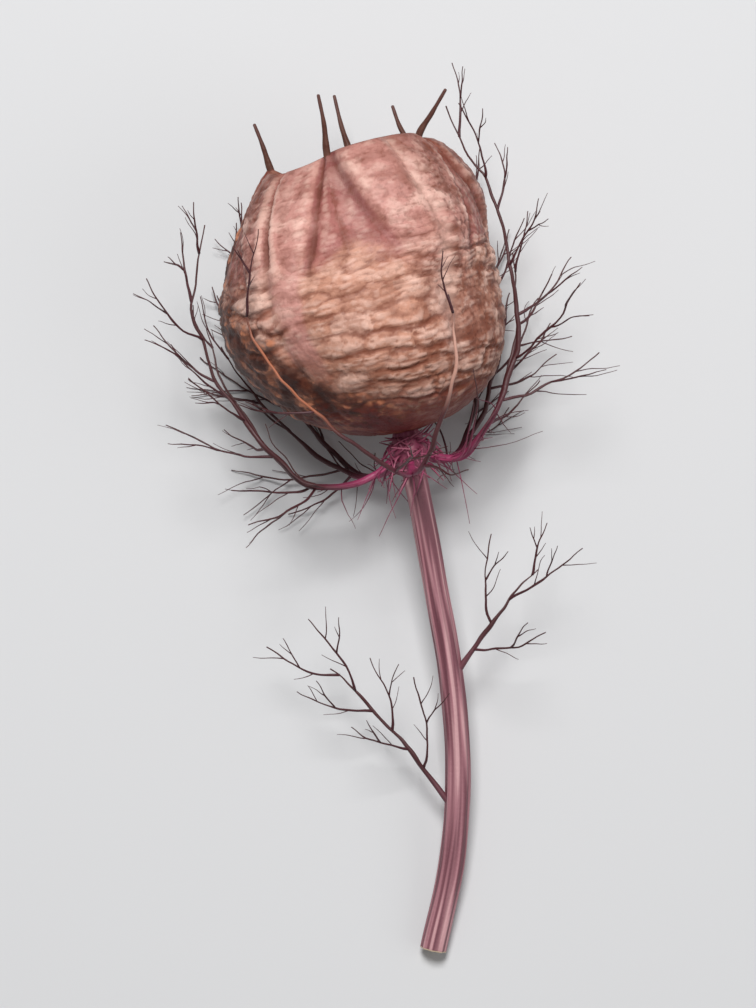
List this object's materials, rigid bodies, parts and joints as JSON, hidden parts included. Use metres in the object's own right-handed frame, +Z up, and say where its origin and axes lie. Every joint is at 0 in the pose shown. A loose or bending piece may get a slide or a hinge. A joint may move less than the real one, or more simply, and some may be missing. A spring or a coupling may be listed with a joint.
{
  "type": "nigella seed pod",
  "caption": "Dried inflated seed capsule with a ring of slender horns on its crown, held in a cage of forked thread-like bracts on a ribbed cut stem, lying on its side.",
  "frame": {"origin": "on the table, in the middle of the flat spot that the capsule rests on", "axes": "+Z up; +Y from the cut stem towards the capsule's crown; +X to the right seen from above with the crown at the top"},
  "size_m": [0.042, 0.0783, 0.0266],
  "materials": {
    "capsule": "dry papery wall with a coppery satin sheen",
    "stem": "dry ribbed stem, mauve pink",
    "bract": "dry threads, maroon, magenta at the roots",
    "leaf": "dry threads, brown maroon"
  },
  "bodies": {
    "root": {"capsule": "capsule", "stem": "stem", "bract_1": "bract", "bract_2": "bract", "bract_3": "bract", "bract_4": "bract", "bract_5": "bract", "stem_leaf_1": "leaf", "stem_leaf_2": "leaf"}
  },
  "joints": []
}
